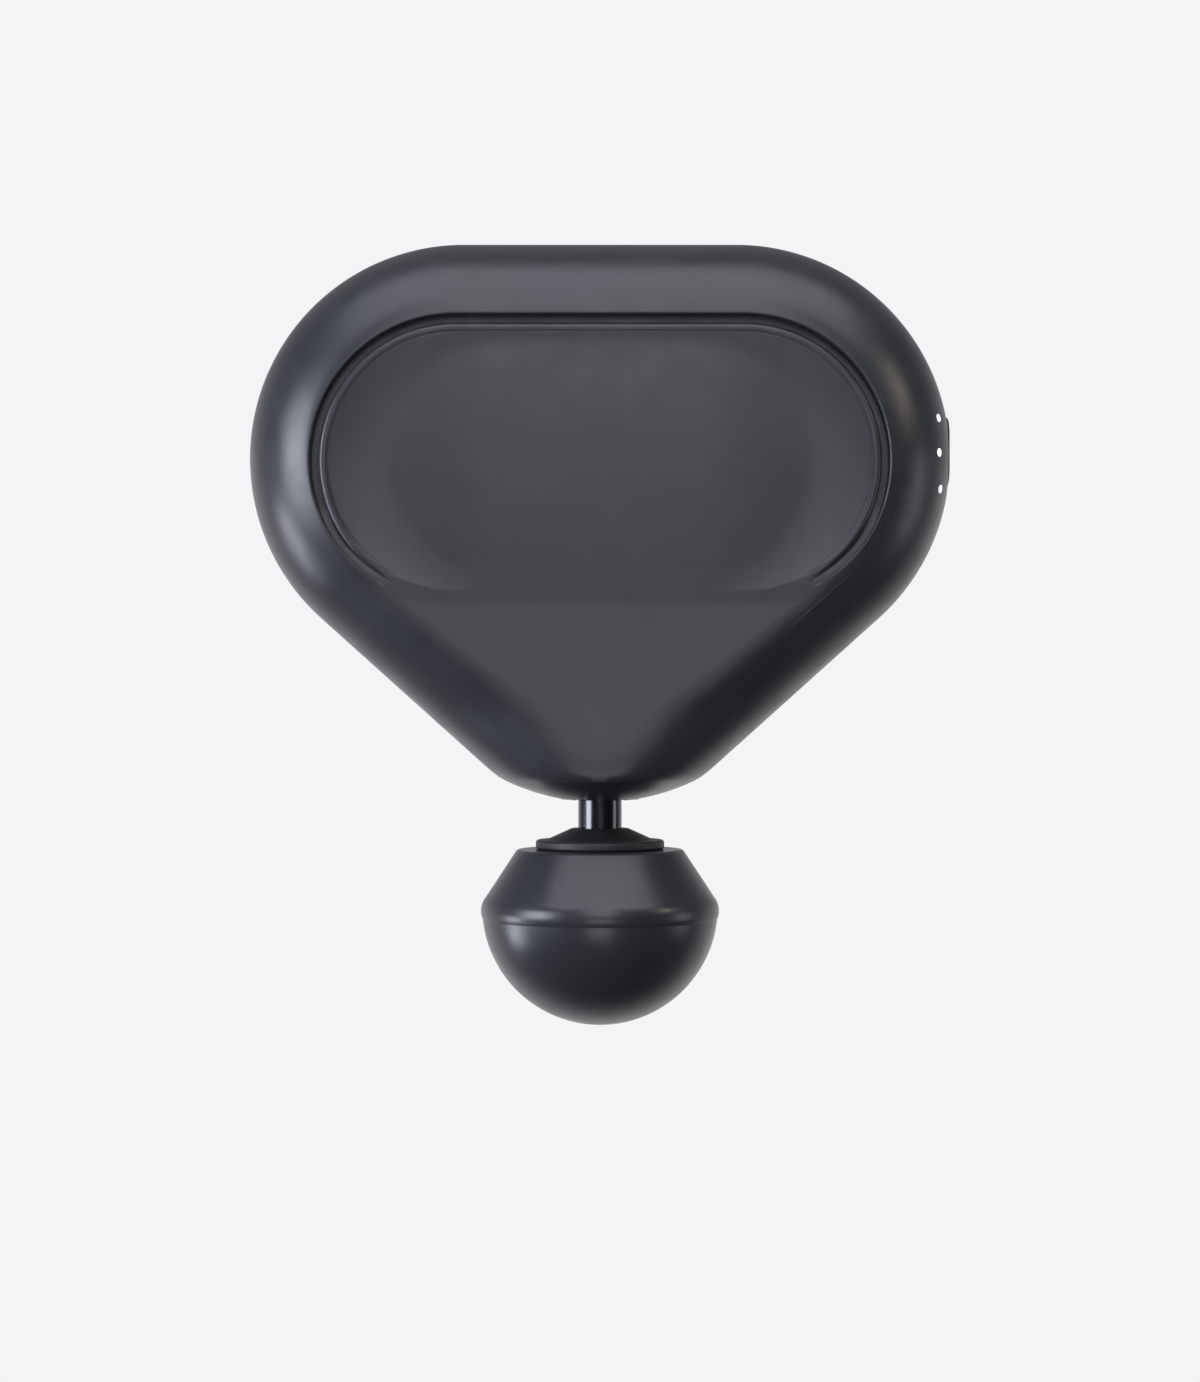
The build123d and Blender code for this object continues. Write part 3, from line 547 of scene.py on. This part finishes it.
def area_light(name, place, target, size, power, colour):
    """Soft rectangular light that faces target and that the camera doesn't see."""
    data = bpy.data.lights.new(name, "AREA")
    data.shape = "RECTANGLE"
    data.size, data.size_y = size
    data.energy = power
    data.color = colour
    obj = bpy.data.objects.new(name, data)
    bpy.context.scene.collection.objects.link(obj)
    obj.location = place
    obj.rotation_euler = (place - target).to_track_quat("Z", "Y").to_euler()
    obj.visible_camera = False


def around(target, distance, azimuth, elevation):
    """A place as seen from target: azimuth 0 is in front, and positive to the right."""
    turn, rise = radians(azimuth), radians(elevation)
    way = Vector((sin(turn) * cos(rise), -cos(turn) * cos(rise), sin(rise)))
    return target + way * distance


def lights():
    """Name, distance, azimuth, elevation, size, power and colour of each light."""
    middle = Vector((0, 0, -0.02))
    cool, bluish, warm = (0.89, 0.92, 1.0), (0.85, 0.89, 1.0), (1.0, 0.86, 0.74)
    for name, distance, azimuth, elevation, size, power, colour in (
            ("front_high", 1.2, 0, 26, (0.58, 0.92), 5.6, cool),
            ("overhead", 0.9, 0, 70, (1.5, 0.80), 10.0, cool),
            ("front_low", 1.2, 0, -19, (0.42, 0.42), 1.9, cool),
            ("left_front", 0.85, -63, 4, (0.42, 0.5), 8.0, bluish),
            ("left_side", 0.85, -92, -20, (0.28, 0.28), 2.6, bluish),
            ("right_side", 0.85, 85, -8, (0.25, 0.4), 0.8, cool),
            ("right_high", 0.9, 71, 24, (0.12, 0.20), 0.9, warm)):
        area_light(name, around(middle, distance, azimuth, elevation), middle, size, power, colour)


def emitter(name, colour, strength):
    """A material that only glows."""
    material = bpy.data.materials.new(name)
    material.use_nodes = True
    tree = material.node_tree
    tree.nodes.clear()
    emission = tree.nodes.new("ShaderNodeEmission")
    emission.inputs["Color"].default_value = (*colour, 1)
    emission.inputs["Strength"].default_value = strength
    output = tree.nodes.new("ShaderNodeOutputMaterial")
    tree.links.new(emission.outputs[0], output.inputs[0])
    return material


def studio_shell():
    """Pale floor with an upright wall all round it; only the camera sees them."""
    levels, turns = 40, 96
    radius, floor, smallest = 3.0, -0.45, 0.001
    mesh = bmesh.new()
    rows = []
    for t in np.linspace(0, 1, levels + 1):
        out = max(radius * min(1.0, t * 2), smallest)
        up = floor + 4 * radius * max(t - 0.5, 0)
        angles = [2 * pi * k / turns for k in range(turns)]
        rows.append([mesh.verts.new((out * cos(angle), out * sin(angle), up)) for angle in angles])
    for a, b in zip(rows, rows[1:]):
        for k in range(turns):
            mesh.faces.new((a[k], a[(k + 1) % turns], b[(k + 1) % turns], b[k]))
    data = bpy.data.meshes.new("studio_floor")
    mesh.to_mesh(data)
    mesh.free()
    obj = bpy.data.objects.new("studio_floor", data)
    bpy.context.scene.collection.objects.link(obj)
    data.materials.append(emitter("studio_pale", (0.905, 0.905, 0.922), 1.0))
    obj.visible_diffuse = False
    obj.visible_glossy = False
    obj.visible_transmission = False
    obj.visible_shadow = False


def world():
    """Dim surroundings, with a white backdrop behind the part that fades upwards."""
    scene_world = bpy.data.worlds.new("studio")
    bpy.context.scene.world = scene_world
    scene_world.use_nodes = True
    tree = scene_world.node_tree
    background = tree.nodes["Background"]
    split = tree.nodes.new("ShaderNodeSeparateXYZ")
    tree.links.new(tree.nodes.new("ShaderNodeTexCoord").outputs["Generated"], split.inputs[0])

    def ramp(source, start, end, low, high):
        node = tree.nodes.new("ShaderNodeMapRange")
        node.interpolation_type = "SMOOTHSTEP"
        for key, value in zip(("From Min", "From Max", "To Min", "To Max"), (start, end, low, high)):
            node.inputs[key].default_value = value
        tree.links.new(source, node.inputs["Value"])
        return node.outputs["Result"]

    behind = ramp(split.outputs["Y"], 0.15, 0.75, 0.0, 1.0)
    low = ramp(split.outputs["Z"], -0.1, 0.5, 1.0, 0.25)
    both = tree.nodes.new("ShaderNodeMath")
    both.operation = "MULTIPLY"
    tree.links.new(behind, both.inputs[0])
    tree.links.new(low, both.inputs[1])
    mix = tree.nodes.new("ShaderNodeMix")
    mix.data_type = "RGBA"
    mix.inputs[6].default_value = (0.058, 0.060, 0.066, 1)
    mix.inputs[7].default_value = (0.9, 0.9, 0.92, 1)
    tree.links.new(both.outputs[0], mix.inputs["Factor"])
    tree.links.new(mix.outputs[2], background.inputs["Color"])
    background.inputs["Strength"].default_value = 1.0


def camera():
    """A level camera straight in front."""
    data = bpy.data.cameras.new("camera")
    data.lens = LENS
    data.sensor_width = SENSOR
    data.clip_start = 0.01
    obj = bpy.data.objects.new("camera", data)
    bpy.context.scene.collection.objects.link(obj)
    obj.location = (0, CAMERA_Y, CAMERA_Z)
    obj.rotation_euler = (radians(90), 0, 0)
    bpy.context.scene.camera = obj


slots = materials()
dress(slots)
front_housing(slots)
control_panel(slots)
world()
lights()
studio_shell()
camera()
bpy.context.scene.view_settings.view_transform = "Standard"

bpy.context.view_layer.update()
